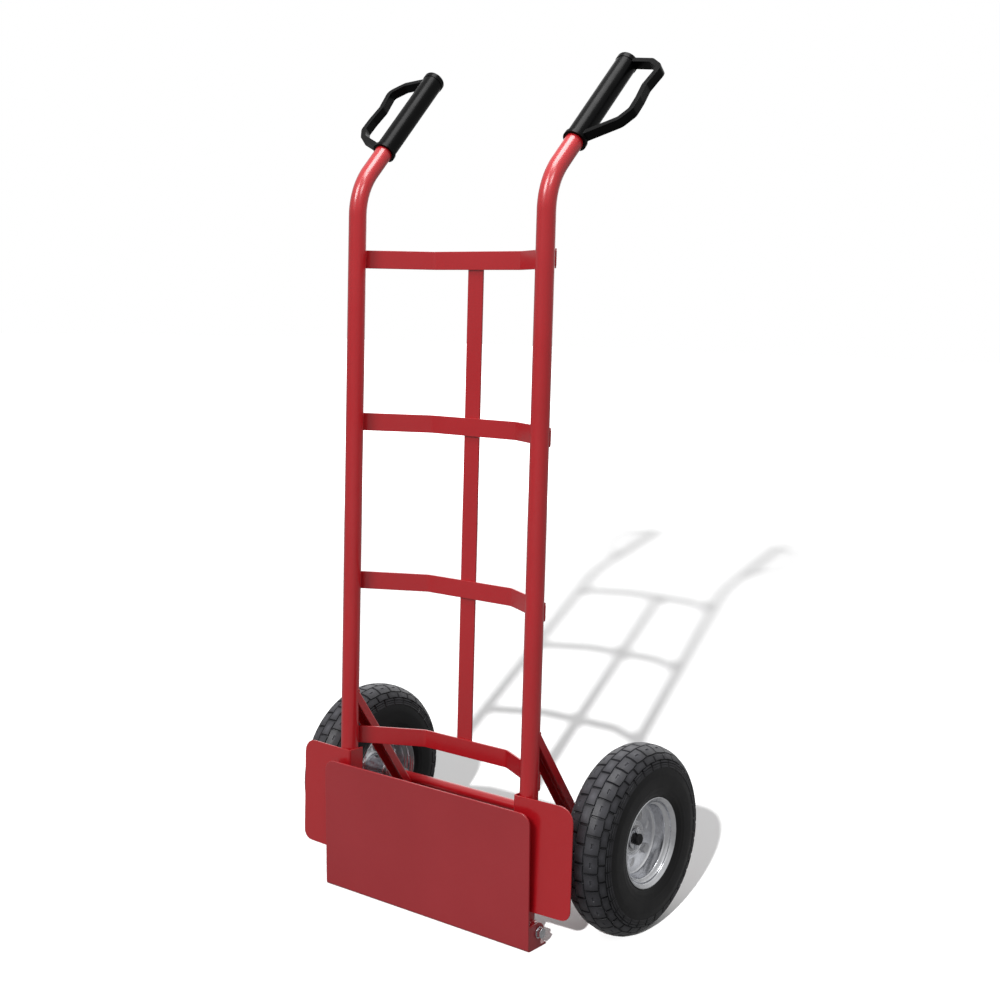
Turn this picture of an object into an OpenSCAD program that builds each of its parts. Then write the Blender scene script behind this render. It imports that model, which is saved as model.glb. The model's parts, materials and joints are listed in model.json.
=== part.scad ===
// Two-wheeled hand truck with a bent-tube frame, dished crossbars, knuckle-guard grips,
// a folding toe plate and two pneumatic wheels on a fixed axle.
// Axes: X across the truck, -Y to the front (the toe plate's side), +Y to the wheels, +Z up.
// "left" is the -X side and "right" the +X side, as seen from the front.

/* [Uprights] */
// Distance between the centre lines of the two uprights
upright_gap = 326; // [310:1:340]
// Outside diameter of the upright tubes
tube_od = 25; // [22:0.5:26]
// Wall thickness of the round tubes
tube_wall = 1.5; // [1.2:0.1:2.5]
// Height at which the uprights start to bend backward
bend_z = 965; // [940:5:1050]
// Centre-line radius of the bend
bend_r = 90; // [70:5:120]
// Angle between the handles and the uprights
bend_angle = 44; // [30:1:55]
// Angle by which each handle turns outward
splay = 2; // [0:0.5:6]
// Bare tube between the bend and the grip
neck_len = 40; // [20:1:80]

/* [Crossbars] */
// Height of the bottom crossbar's middle
bar_z = 222; // [215:1:240]
// Distance from one crossbar to the next
bar_pitch = 228; // [200:1:235]
// Height of the strip that the crossbars are bent from
bar_h = 25; // [20:1:30]
// Thickness of the strip
bar_t = 3; // [2:0.5:4]
// Depth of the flat middle behind the uprights' centre line
bar_depth = 64; // [40:1:80]
// Half the width of the flat middle
bar_flat = 75; // [50:1:90]
// Width of the bar that ties the crossbars together
centre_bar_w = 26; // [20:1:40]
// Distance of that bar's middle from the middle of the truck
centre_bar_x = -4; // [-10:1:10]

/* [Wing plates] */
// Outer edge of a wing plate, from the middle of the truck
wing_x = 242; // [225:1:250]
// Lower edge of the wing plates
wing_low = 53.5; // [48:0.5:70]
// Upper edge of the wing plates
wing_top = 206; // [190:1:208]
// Angle by which the wings sweep back
wing_sweep = 3; // [0:0.5:4]
// Depth of the inner return flange
wing_flange = 27; // [15:1:30]
// Thickness of the sheet
wing_t = 2; // [1.5:0.1:2.5]

/* [Rear frame] */
// Height at which a brace's top face meets its upright
brace_top = 291; // [270:1:300]
// Width of the struts, which end between the channels' flanges
strut_w = 20; // [12:1:20]
// Width of the brace channels
brace_w = 25; // [18:1:25]
// Depth of the brace channels
brace_d = 13; // [10:1:16]

/* [Toe plate] */
// Width of the toe plate
toe_w = 370; // [360:1:380]
// Height of the toe plate above its hinge when folded
toe_h = 167; // [120:1:170]
// Distance of the two outer faces from the hinge axis
toe_off = 22; // [21:0.5:23]
// Length of the bottom flange behind the hinge axis
toe_lip = 17; // [8:1:18]
// Thickness of the toe plate
toe_t = 3; // [2:0.5:4]
// Angle by which the folded plate stands off the wings
toe_tilt = 2; // [0:0.5:3]
// Radius of the two upper corners
toe_corner = 16; // [8:1:30]

/* [Wheels] */
// Tyre radius
wheel_r = 130; // [125:1:132]
// Half the width of the tyre
tyre_half = 36.5; // [34:0.5:38]
// Distance of a wheel's mid plane from the middle of the truck
wheel_x = 241; // [240:1:250]
// Distance of the axle behind the uprights' centre line
wheel_y = 135; // [133:1:140]
// Diameter of the axle
axle_d = 16; // [14:0.5:17]
// Number of bolts that hold the two halves of a rim together
rim_bolt_count = 3; // [3:1:5]

/* [Grips] */
// Length of a grip
grip_len = 161; // [150:1:180]
// Outside diameter of a grip
grip_od = 29.5; // [28.5:0.5:34]
// Reach of the knuckle guard from the grip's axis
guard_reach = 66; // [60:1:75]
// Thickness of the guard's band
guard_t = 7.5; // [5:0.5:9]
// Depth of the guard's band
guard_d = 13; // [10:1:16]

/* [Hidden] */
$fn = 64;

red = [0.62, 0.10, 0.12];
toe_red = [0.58, 0.17, 0.18];
zinc = [0.70, 0.71, 0.72];
steel = [0.55, 0.56, 0.58];
rubber = [0.09, 0.09, 0.10];
black = [0.04, 0.04, 0.045];
nylon = [0.15, 0.15, 0.16];

upright_x = upright_gap / 2;
tube_r = tube_od / 2;
tube_ir = tube_r - tube_wall;
bend_end_y = bend_r * (1 - cos(bend_angle));
bend_end_z = bend_z + bend_r * sin(bend_angle);
grip_cap = 5;           // closed end of a grip beyond the tube's end
grip_collar_h = 5;      // collar at a grip's lower end, and how far it stands proud
grip_collar_t = 1.75;
grip_bead_at = 8;       // bead round the closed end: distance from the end, height and how far proud
grip_bead_h = 6.5;
grip_bead_t = 0.75;
guard_corner_r = 10;
guard_root = 4;         // how deep the guard's ends are sunk in the grip
run_gap = 0.05;         // radial clearance of a running fit
eps = 0.01;             // overlap that keeps cuts clean
joint_h = 0.4;          // half the height of a ring that bridges two stretches of tube
joint_t = 0.1;          // its overlap with the tube's walls

// The tilted toe plate stands on the round outside of its lower bend
toe_bend = 4;
hinge_z = toe_off * (cos(toe_tilt) + sin(toe_tilt)) - toe_bend * (cos(toe_tilt) + sin(toe_tilt) - 1);
hinge_od = 25;
upright_low = hinge_z + 4;     // foot of an upright, saddled over the hinge tube
hinge_half = toe_w / 2 - toe_t - 0.7;
hinge_bolt_d = 8;
hinge_bush_len = 12;
hinge_nut_h = 8;
lock_ring_h = 2;        // nylon ring in the end of the hinge's nut
ear_foot = 6;           // ear's lower edge behind the hinge axis
bolt_af = 13;           // M8 heads and nuts, across flats
bolt_head_h = 5.3;
bolt_tail = 3;          // thread beyond a nut
washer_t = 1.6;
washer_gap = 0.4;
washer_play = 0.2;      // between a washer and its bolt
hinge_washer_x = toe_w / 2 + washer_gap;

// The slanted ends of the crossbars lie tangent to the backs of the uprights
bar_reach = norm([upright_x - bar_flat, bar_depth]);
bar_slope = atan2(bar_depth, upright_x - bar_flat) - asin(tube_r / bar_reach);
bar_tangent = sqrt(bar_reach * bar_reach - tube_r * tube_r);
bar_overrun = 1;        // crossbar beyond the line where it touches the tube
bar_bend = 14;          // radius of its two bends

// Wing plates: radii of the two outer corners and of the fold, and room round the upright
wing_corner_low = 14;
wing_corner_high = 20;
wing_fold_r = 3;
wing_gap_side = 0.2;
wing_gap_front = 1.1;

// The axle lies on the braces' upper faces, near their lower ends
brace_t = 2;
brace_root = 6;         // where the upper face starts, behind the uprights' centre line
brace_angle =           // between a brace and the vertical
    acos(axle_d / 2 / norm([wheel_y - brace_root, brace_top - wheel_r]))
    - atan2(brace_top - wheel_r, wheel_y - brace_root);
brace_len = sqrt(pow(norm([wheel_y - brace_root, brace_top - wheel_r]), 2) - pow(axle_d / 2, 2)) + 10;
brace_lead = 60;        // spare length above the root, which the upright trims
brace_fold_r = 2.5;
strut_t = 5;
strut_low = 66;         // where a strut meets its upright
strut_rise = 22.2;      // slope of a strut

// Wheel stations are measured outward from the wheel's mid plane
hub_out = 3;
hub_in = -38;
hub_od = 41;
hub_bore = 30;
bearing_od = 35;
bearing_w = 11;
bearing_ring = 2.6;     // width of its two rings, and depth of the shields between them
bearing_recess = 0.8;
axle_end = 12.5;
axle_washer_t = 2.5;
axle_washer_r = 14;
spacer_r = 11;
axle_gap = 0.5;
axle_chamfer = 1;
end_play = 0.2;
pin_d = 3.2;
pin_len = 26;
pin_drop = 1;           // middle of a split pin below the axle
pin_eye_rise = 2.2;     // middle of its eye above its shank
pin_play = 0.4;
axle_pin_at = hub_out + axle_gap + axle_washer_t + 2.5;
rim_t = 2;
rim_hole_r = hub_od / 2;
rim_bolt_pcr = 32;
rim_bolt_d = 8;
rim_bolt_angle = 38;
rim_bolt_shank = 9;     // beyond the two halves
rim_nut_h = 6.5;
valve_angle = 205;
valve_at = 9;           // station of the valve in the outer rim half
valve_r = 53;           // radius at which it leaves the inner tube
valve_hole_d = 9;
stem_foot = [5.6, 3];            // diameter and height of the stem's foot
stem_rubber = [8.6, 7, 9];      // its rubber: diameters below and above, height
stem_core = [5, 8];
valve_cap = [7.6, 8];           // diameter and height of the cap, from 3 above the rubber
carcass_r = 94;         // radius of the tyre's widest point
tyre_wall = 5.5;
tube_t = 2;
tube_gap = 0.5;         // between the inner tube and the tyre
tube_half = tyre_half - tyre_wall - tube_gap;

// The origin is below the middle of the bounding box
front_y = -(toe_off * cos(toe_tilt) + toe_h * sin(toe_tilt));
rear_y = wheel_y + wheel_r;
mid_y = (front_y + rear_y) / 2;

module from_uprights() translate([0, -mid_y, 0]) children();
module on_side(side) translate([side * upright_x, 0, 0]) children();
module along_x(from, to) translate([from, 0, 0]) rotate([0, 90, 0]) linear_extrude(to - from) children();

module mirror_side(side) if (side < 0) mirror([1, 0, 0]) children(); else children();

// Turned outward about the upright, where the handle begins to lean back
module splayed(side) from_uprights() on_side(side) rotate([0, 0, -side * splay]) children();

// Local Z runs up the handle, local X outward
module on_handle(side) splayed(side) translate([0, bend_end_y, bend_end_z])
    rotate([-bend_angle, 0, 0]) mirror_side(side) children();

// Local Z runs outward along the axle from the wheel's mid plane
module on_wheel(side)
    from_uprights() mirror_side(side) translate([wheel_x, wheel_y, wheel_r]) rotate([0, 90, 0]) children();

function unit(v) = v / norm(v);
function turn(v) = [-v[1], v[0]];

// Arc of radius r that rounds the corner b between a and c
function fillet(a, b, c, r, n = 5) = r == 0 ? [b] :
    let (u = unit(a - b), v = unit(c - b), half = acos(u * v) / 2,
         m = b + unit(u + v) * r / sin(half), p = b + u * r / tan(half), q = b + v * r / tan(half),
         a0 = atan2(p[1] - m[1], p[0] - m[0]), a1 = atan2(q[1] - m[1], q[0] - m[0]),
         sweep = (a1 - a0 + 540) % 360 - 180)
    [for (k = [0 : n]) m + r * [cos(a0 + sweep * k / n), sin(a0 + sweep * k / n)]];

// Open path with its inner corners rounded
function smooth(path, r, n = 5) = [path[0],
    for (i = [1 : len(path) - 2]) each fillet(path[i - 1], path[i], path[i + 1], r, n),
    path[len(path) - 1]];

// Closed outline with a radius for each corner
function rounded(pts, radii, n = 5) = let (m = len(pts))
    [for (i = [0 : m - 1]) each fillet(pts[(i + m - 1) % m], pts[i], pts[(i + 1) % m], radii[i], n)];

// Mitred normal of a path at its point i
function path_normal(path, i) = let (last = len(path) - 1,
    before = unit(path[max(i, 1)] - path[max(i, 1) - 1]),
    after = unit(path[min(i, last - 1) + 1] - path[min(i, last - 1)]),
    n = unit(turn(before) + turn(after))) n / (n * turn(before));

// Closed outline of a band of thickness t about an open path
function band(path, t) = concat(
    [for (i = [0 : len(path) - 1]) path[i] + path_normal(path, i) * t / 2],
    [for (i = [len(path) - 1 : -1 : 0]) path[i] - path_normal(path, i) * t / 2]);

module ring(r_out, r_in, h) difference() {
    cylinder(r = r_out, h = h);
    translate([0, 0, -1]) cylinder(r = r_in, h = h + 2);
}

// Hexagon of a nut or bolt head, across flats
module hex(af, h) cylinder(d = af / cos(30), h = h, $fn = 6);

// ---- Frame ----

module tube_section() difference() {
    circle(r = tube_r);
    circle(r = tube_ir);
}

// A straight stretch, the bend and the handle stretch, with a hair-thin ring over each joint
// so that the three are one solid
module joint_ring() translate([0, 0, -joint_h]) ring(tube_r + joint_t, tube_ir - joint_t, 2 * joint_h);
module upright(side) color(red) {
    difference() {
        from_uprights() on_side(side) translate([0, 0, upright_low])
            linear_extrude(bend_z - upright_low - joint_h / 2) tube_section();
        hinge_solid(hinge_od / 2);
    }
    splayed(side) {
        translate([0, bend_r, bend_z]) rotate([90, 0, -90])
            rotate_extrude(angle = bend_angle) translate([bend_r, 0]) tube_section();
        translate([0, 0, bend_z]) joint_ring();
    }
    on_handle(side) {
        joint_ring();
        translate([0, 0, joint_h / 2]) linear_extrude(neck_len + grip_len - grip_cap) tube_section();
    }
}
module upright_left() upright(-1);
module upright_right() upright(1);

function bar_path() = let (end = [bar_flat, bar_depth + bar_t / 2]
        + (bar_tangent + bar_overrun) * [cos(bar_slope), -sin(bar_slope)]
        + bar_t / 2 * [sin(bar_slope), cos(bar_slope) - 1])
    smooth([[-end[0], end[1]], [-bar_flat, bar_depth + bar_t / 2],
        [bar_flat, bar_depth + bar_t / 2], end], bar_bend);

module crossbar(row) color(red) from_uprights()
    translate([0, 0, bar_z + row * bar_pitch - bar_h / 2]) linear_extrude(bar_h)
        polygon(band(bar_path(), bar_t));
module crossbar_bottom() crossbar(0);
module crossbar_lower() crossbar(1);
module crossbar_upper() crossbar(2);
module crossbar_top() crossbar(3);

module centre_bar() color(red) from_uprights()
    translate([centre_bar_x - centre_bar_w / 2, bar_depth + bar_t, bar_z - bar_h / 2])
        cube([centre_bar_w, bar_t, 3 * bar_pitch + bar_h]);

// Plan of a wing: the return flange beside the tube, then the plate swept back past its front
function wing_plan() = let (inner = upright_x - tube_r - wing_t / 2 - wing_gap_side,
        front = -(tube_r + wing_t / 2 + wing_gap_front))
    smooth([[inner, front + wing_flange], [inner, front],
        [wing_x, front + (wing_x - inner) * tan(wing_sweep)]], wing_fold_r);
module wing(side) color(red) from_uprights() mirror_side(side) intersection() {
    translate([0, 0, wing_low]) linear_extrude(wing_top - wing_low) polygon(band(wing_plan(), wing_t));
    translate([0, tube_od, 0]) rotate([90, 0, 0]) linear_extrude(3 * tube_od)
        polygon(rounded([[upright_x - tube_od, wing_low], [wing_x, wing_low], [wing_x, wing_top],
            [upright_x - tube_od, wing_top]], [0, wing_corner_low, wing_corner_high, 0]));
}
module wing_left() wing(-1);
module wing_right() wing(1);

// Pressed channel with its open side to the front and below
module brace_channel() {
    half = brace_w / 2 - brace_t / 2;
    polygon(band(smooth([[-half, -brace_d], [-half, -brace_t / 2], [half, -brace_t / 2],
        [half, -brace_d]], brace_fold_r), brace_t));
}
// Local Z runs down a brace, local Y into its channel
module on_brace(side) from_uprights() on_side(side) translate([0, brace_root, brace_top])
    rotate([180 + brace_angle, 0, 0]) children();
module upright_core(side)
    from_uprights() on_side(side) translate([0, 0, hinge_z]) cylinder(r = tube_r, h = bend_z - hinge_z);
module brace(side) color(red) difference() {
    intersection() {
        on_brace(side) translate([0, 0, -brace_lead]) linear_extrude(brace_lead + brace_len)
            mirror([0, 1]) brace_channel();
        from_uprights() on_side(side) translate([-brace_w, 0, 0])
            cube([2 * brace_w, 2 * wheel_y, brace_top + brace_lead]);
    }
    upright_core(side);
}
module brace_left() brace(-1);
module brace_right() brace(1);

// Flat bar from the foot of an upright into the brace's channel, below the axle
module strut(side) color(red) difference() {
    from_uprights() on_side(side) translate([0, 0, strut_low]) rotate([strut_rise, 0, 0])
        translate([-strut_w / 2, 0, 0]) cube([strut_w, wheel_y / cos(strut_rise), strut_t]);
    upright_core(side);
    on_brace(side) translate([-brace_w, -wheel_r, 0]) cube([2 * brace_w, wheel_r + brace_t, 2 * brace_top]);
}
module strut_left() strut(-1);
module strut_right() strut(1);

module axle_end_cone() cylinder(d1 = axle_d, d2 = axle_d - 2 * axle_chamfer, h = axle_chamfer);
module axle() color(steel) difference() {
    union() for (side = [-1, 1]) from_uprights() mirror_side(side)
        translate([-eps, wheel_y, wheel_r]) rotate([0, 90, 0]) {
            cylinder(d = axle_d, h = wheel_x + axle_end - axle_chamfer + eps);
            translate([0, 0, wheel_x + axle_end - axle_chamfer + eps]) axle_end_cone();
        }
    for (side = [-1, 1]) on_wheel(side)
        translate([0, 0, axle_pin_at]) rotate([0, 90, 0])
            cylinder(d = pin_d + pin_play, h = 2 * axle_d, center = true);
}

// Distance tubes that keep the wheels off the braces
spacer_from = upright_x + brace_w / 2 + axle_gap;
spacer_to = wheel_x + hub_in - axle_gap - axle_washer_t - end_play;
module axle_spacers() color(zinc) for (side = [-1, 1])
    from_uprights() mirror_side(side) translate([spacer_from, wheel_y, wheel_r]) rotate([0, 90, 0])
        ring(spacer_r, axle_d / 2 + run_gap, spacer_to - spacer_from);
module axle_washers() color(zinc) for (side = [-1, 1],
        at = [hub_out + axle_gap, hub_in - axle_gap - axle_washer_t])
    on_wheel(side) translate([0, 0, at]) ring(axle_washer_r, axle_d / 2 + run_gap, axle_washer_t);

// Split pin: a doubled shank with an eye at its upper end
module cotter_pins() color(zinc) for (side = [-1, 1])
    on_wheel(side) translate([0, 0, axle_pin_at]) rotate([0, -90, 0]) {
        translate([0, 0, -pin_len / 2 - pin_drop]) cylinder(d = pin_d, h = pin_len);
        translate([0, 0, pin_len / 2 - pin_drop + pin_eye_rise]) rotate([0, 90, 0])
            rotate_extrude() translate([0.8 * pin_d, 0]) circle(d = pin_d / 2, $fn = 24);
    }

// ---- Toe plate and its hinge ----

module hinge_solid(r)
    from_uprights() translate([0, 0, hinge_z]) along_x(-hinge_half, hinge_half) circle(r = r);
module hinge_tube() color(red) difference() {
    hinge_solid(hinge_od / 2);
    from_uprights() translate([0, 0, hinge_z]) along_x(-toe_w, toe_w) circle(r = hinge_od / 2 - tube_wall);
}
module hinge_bushes() color(steel) for (side = [-1, 1])
    from_uprights() mirror_side(side) translate([hinge_half - hinge_bush_len, 0, hinge_z])
        rotate([0, 90, 0]) ring(hinge_od / 2 - tube_wall, hinge_bolt_d / 2 + run_gap, hinge_bush_len);
module hinge_bolt() color(zinc) from_uprights() translate([0, 0, hinge_z]) {
    along_x(-(hinge_washer_x + washer_t + hinge_nut_h + bolt_tail), hinge_washer_x + washer_t + eps)
        circle(d = hinge_bolt_d);
    translate([hinge_washer_x + washer_t, 0, 0]) rotate([0, 90, 0]) hex(bolt_af, bolt_head_h);
}
module hinge_washers() color(zinc) for (side = [-1, 1])
    from_uprights() mirror_side(side) translate([hinge_washer_x, 0, hinge_z]) rotate([0, 90, 0])
        ring(hinge_bolt_d, hinge_bolt_d / 2 + washer_play, washer_t);
module hinge_nut() color(zinc) from_uprights()
    translate([-(hinge_washer_x + washer_t), 0, hinge_z]) rotate([0, -90, 0]) difference() {
        union() {
            hex(bolt_af, hinge_nut_h - lock_ring_h);
            cylinder(d = bolt_af - washer_t, h = hinge_nut_h);
        }
        translate([0, 0, -1]) cylinder(d = hinge_bolt_d, h = hinge_nut_h + 2);
    }

// Side profile about the hinge axis: [distance behind the axis, height above it]
module toe_profile() let (mid = toe_off - toe_t / 2)
    polygon(band(smooth([[-mid, toe_h], [-mid, -mid], [toe_lip, -mid]], toe_bend - toe_t / 2), toe_t));
module ear_profile() let (reach = toe_off - toe_t) {
    circle(r = hinge_od / 2);
    translate([-reach, -hinge_od / 2]) square([reach, hinge_od]);
    translate([-reach, -reach]) square([reach + ear_foot, reach]);
}
module on_toe() from_uprights() translate([0, 0, hinge_z]) rotate([toe_tilt, 0, 0]) children();
module toe_plate() color(toe_red) on_toe() difference() {
    union() {
        intersection() {
            rotate([90, 0, 90]) translate([0, 0, -toe_w / 2]) linear_extrude(toe_w) toe_profile();
            translate([0, 2 * toe_off, 0]) rotate([90, 0, 0]) linear_extrude(4 * toe_off)
                polygon(rounded([[-toe_w / 2, -2 * toe_off], [toe_w / 2, -2 * toe_off], [toe_w / 2, toe_h],
                    [-toe_w / 2, toe_h]], [0, 0, toe_corner, toe_corner]));
        }
        for (side = [-1, 1]) mirror_side(side) rotate([90, 0, 90])
            translate([0, 0, toe_w / 2 - toe_t]) linear_extrude(toe_t) ear_profile();
    }
    along_x(-toe_w, toe_w) circle(d = hinge_bolt_d + 2 * run_gap);
}

// ---- Grips ----

// Outline of the guard's centre line: [distance from the grip's axis, distance up the grip]
function guard_path() = let (root = grip_od / 2 - guard_root)
    smooth([[root, grip_len - 6], [0.70 * guard_reach, grip_len - 12], [guard_reach, grip_len - 27],
        [0.92 * guard_reach, 0.61 * grip_len], [0.97 * guard_reach, 0.45 * grip_len],
        [0.98 * guard_reach, 0.31 * grip_len], [0.83 * guard_reach, 0.20 * grip_len], [root, 8]],
        guard_corner_r, 4);
module grip(side) color(black) on_handle(side) translate([0, 0, neck_len]) difference() {
    union() {
        cylinder(d = grip_od, h = grip_len);
        cylinder(r = grip_od / 2 + grip_collar_t, h = grip_collar_h);
        translate([0, 0, grip_len - grip_bead_at]) cylinder(r = grip_od / 2 + grip_bead_t, h = grip_bead_h);
        rotate([90, 0, 0]) translate([0, 0, -guard_d / 2]) linear_extrude(guard_d)
            polygon(band(guard_path(), guard_t));
    }
    translate([0, 0, -1]) cylinder(d = tube_od, h = grip_len - grip_cap + 1 + joint_h);
}
module grip_left() grip(-1);
module grip_right() grip(1);

// ---- Wheels, drawn about the mid plane with local Z outward ----

// Half width of a tyre-like section at radius r: rounder above its widest point, squarer below
function bulge(r, half, over, under) = let (rise = r - carcass_r, n = rise > 0 ? 2.4 : 3.2,
    span = rise > 0 ? over : under) half * pow(max(0, 1 - pow(abs(rise) / span, n)), 1 / n);
function section(half, over, under, low, steps = 12) = [for (k = [0 : steps])
    let (r = low + (carcass_r + over - low) * sin(90 * k / steps)) [r, bulge(r, half, over, under)]];
function mirrored(side) = concat(side, [for (i = [len(side) - 2 : -1 : 0]) [side[i][0], -side[i][1]]]);

bead_r = 52.4;
module tyre(side) color(rubber) on_wheel(side) rotate_extrude() difference() {
    polygon(mirrored(concat([[bead_r, 14.5], [bead_r, 20], [57, 23.5], [59.5, 27], [62.8, 29]],
        section(tyre_half, wheel_r - carcass_r, 40, 63.5))));
    polygon(mirrored(concat([[bead_r - 1, 14], [bead_r + 4, 15.5]],
        section(tyre_half - tyre_wall, 28, 38, 60))));
}
module inner_tube(side) color(nylon) on_wheel(side) rotate_extrude() difference() {
    polygon(mirrored(concat([[55, 12]], section(tube_half, 28 - tube_gap, 35, 61))));
    polygon(mirrored(concat([[57, 11.5]], section(tube_half - tube_t, 28 - tube_gap - tube_t, 33, 63))));
}

// One pressed half: disc, barrel, bead seat and lip
module rim_half() rotate_extrude() polygon([[rim_hole_r, 0], [46.5, 0], [50, 1.2], [51.6, 4], [52, 20.2],
    [56.2, 23.2], [58, 26.4], [62.8, 29.8], [62.8, 31.2], [61.6, 31.8], [56.4, 28.2], [54.6, 25],
    [50, 21.6], [49.6, 5], [48.4, 3], [46, rim_t], [rim_hole_r, rim_t]]);
module rim_bolt_holes() for (k = [0 : rim_bolt_count - 1])
    rotate(-(rim_bolt_angle + k * 360 / rim_bolt_count)) translate([0, rim_bolt_pcr, 0]) children();
module rim_outer(side) color(zinc) on_wheel(side) difference() {
    rim_half();
    rim_bolt_holes() cylinder(d = rim_bolt_d + 0.4, h = 10, center = true);
    valve_axis() cylinder(d = valve_hole_d, h = 16, center = true);
}
module rim_inner(side) color(zinc) on_wheel(side) difference() {
    mirror([0, 0, 1]) rim_half();
    rim_bolt_holes() cylinder(d = rim_bolt_d + 0.4, h = 10, center = true);
}
module rim_bolts(side) color(steel) on_wheel(side) rim_bolt_holes() {
    translate([0, 0, -rim_t - rim_bolt_shank])
        cylinder(d = rim_bolt_d, h = 2 * rim_t + rim_bolt_shank + eps);
    translate([0, 0, rim_t]) hex(bolt_af, bolt_head_h);
}
module rim_nuts(side) color(steel) on_wheel(side) rim_bolt_holes()
    translate([0, 0, -rim_t - rim_nut_h]) difference() {
        hex(bolt_af, rim_nut_h);
        translate([0, 0, -1]) cylinder(d = rim_bolt_d, h = rim_nut_h + 2);
    }

module hub(side) color(zinc) on_wheel(side) difference() {
    translate([0, 0, hub_in]) cylinder(d = hub_od, h = hub_out - hub_in);
    translate([0, 0, hub_in - 1]) cylinder(d = hub_bore, h = hub_out - hub_in + 2);
    translate([0, 0, hub_in - 1]) cylinder(d = bearing_od, h = bearing_w + 1);
    translate([0, 0, hub_out - bearing_w]) cylinder(d = bearing_od, h = bearing_w + 1);
}

// Sealed ball bearing with recessed shields on both faces
module bearing() let (bore = axle_d / 2 + run_gap, race = axle_d / 2 + bearing_ring,
    ring = bearing_od / 2 - bearing_ring, outside = bearing_od / 2, w = bearing_w, c = bearing_recess)
    rotate_extrude() polygon([[bore, 0], [race, 0], [race, c], [ring, c], [ring, 0], [outside, 0],
        [outside, w], [ring, w], [ring, w - c], [race, w - c], [race, w], [bore, w]]);
module bearing_outer(side) color(steel) on_wheel(side) translate([0, 0, hub_out - bearing_w]) bearing();
module bearing_inner(side) color(steel) on_wheel(side) translate([0, 0, hub_in]) bearing();

// The valve points from the inner tube towards the axle
module valve_axis() rotate(-valve_angle) translate([0, valve_r, valve_at]) rotate([90, 0, 0]) children();
module valve_stem(side) color(rubber) on_wheel(side) valve_axis() {
    translate([0, 0, 1 - stem_foot[1]]) cylinder(d = stem_foot[0], h = stem_foot[1]);
    translate([0, 0, 1]) cylinder(d1 = stem_rubber[0], d2 = stem_rubber[1], h = stem_rubber[2]);
    translate([0, 0, 1 + stem_rubber[2]]) cylinder(d = stem_core[0], h = stem_core[1]);
}
module valve_cap(side) color(black) on_wheel(side) valve_axis() difference() {
    translate([0, 0, stem_rubber[2] + 4]) cylinder(d = valve_cap[0], h = valve_cap[1]);
    translate([0, 0, stem_rubber[2] + 3])
        cylinder(r = stem_core[0] / 2 + run_gap, h = valve_cap[1] - 1);
}

module tyre_left() tyre(-1);
module tyre_right() tyre(1);
module inner_tube_left() inner_tube(-1);
module inner_tube_right() inner_tube(1);
module rim_outer_left() rim_outer(-1);
module rim_outer_right() rim_outer(1);
module rim_inner_left() rim_inner(-1);
module rim_inner_right() rim_inner(1);
module hub_left() hub(-1);
module hub_right() hub(1);
module bearing_outer_left() bearing_outer(-1);
module bearing_outer_right() bearing_outer(1);
module bearing_inner_left() bearing_inner(-1);
module bearing_inner_right() bearing_inner(1);
module rim_bolts_left() rim_bolts(-1);
module rim_bolts_right() rim_bolts(1);
module rim_nuts_left() rim_nuts(-1);
module rim_nuts_right() rim_nuts(1);
module valve_stem_left() valve_stem(-1);
module valve_stem_right() valve_stem(1);
module valve_cap_left() valve_cap(-1);
module valve_cap_right() valve_cap(1);

upright_left();
upright_right();
crossbar_bottom();
crossbar_lower();
crossbar_upper();
crossbar_top();
centre_bar();
wing_left();
wing_right();
brace_left();
brace_right();
strut_left();
strut_right();
axle();
axle_spacers();
axle_washers();
cotter_pins();
hinge_tube();
hinge_bushes();
hinge_bolt();
hinge_washers();
hinge_nut();
grip_left();
grip_right();
toe_plate();
tyre_left();
inner_tube_left();
rim_outer_left();
rim_inner_left();
hub_left();
bearing_outer_left();
bearing_inner_left();
rim_bolts_left();
rim_nuts_left();
valve_stem_left();
valve_cap_left();
tyre_right();
inner_tube_right();
rim_outer_right();
rim_inner_right();
hub_right();
bearing_outer_right();
bearing_inner_right();
rim_bolts_right();
rim_nuts_right();
valve_stem_right();
valve_cap_right();
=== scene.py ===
import json
import math
from collections import namedtuple

import bmesh
import bpy
from mathutils import Matrix, Vector


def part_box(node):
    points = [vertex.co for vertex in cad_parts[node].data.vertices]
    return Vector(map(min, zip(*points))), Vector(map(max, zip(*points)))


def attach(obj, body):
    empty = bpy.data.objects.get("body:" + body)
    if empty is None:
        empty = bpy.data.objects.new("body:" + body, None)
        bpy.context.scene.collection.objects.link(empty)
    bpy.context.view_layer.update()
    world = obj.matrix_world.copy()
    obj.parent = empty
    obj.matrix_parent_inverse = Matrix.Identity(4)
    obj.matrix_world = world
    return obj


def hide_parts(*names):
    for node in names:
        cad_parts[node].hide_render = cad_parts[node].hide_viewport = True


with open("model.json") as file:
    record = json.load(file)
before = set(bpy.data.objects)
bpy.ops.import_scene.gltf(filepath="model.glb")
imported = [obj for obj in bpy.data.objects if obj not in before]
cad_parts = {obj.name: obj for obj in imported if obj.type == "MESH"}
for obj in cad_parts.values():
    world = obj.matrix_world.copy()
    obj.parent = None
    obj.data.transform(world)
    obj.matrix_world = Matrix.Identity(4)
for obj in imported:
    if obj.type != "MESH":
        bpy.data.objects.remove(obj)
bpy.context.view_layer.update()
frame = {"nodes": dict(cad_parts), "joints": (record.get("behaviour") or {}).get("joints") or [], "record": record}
NODES = frame["nodes"]
SIDES = {"left": -1, "right": 1}                # with the sign of its X
ROWS = ("bottom", "lower", "upper", "top")      # of crossbars
MM = 0.001
UP = Vector((0.0, 0.0, 1.0))

# ---- Places from the frame ----

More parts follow.
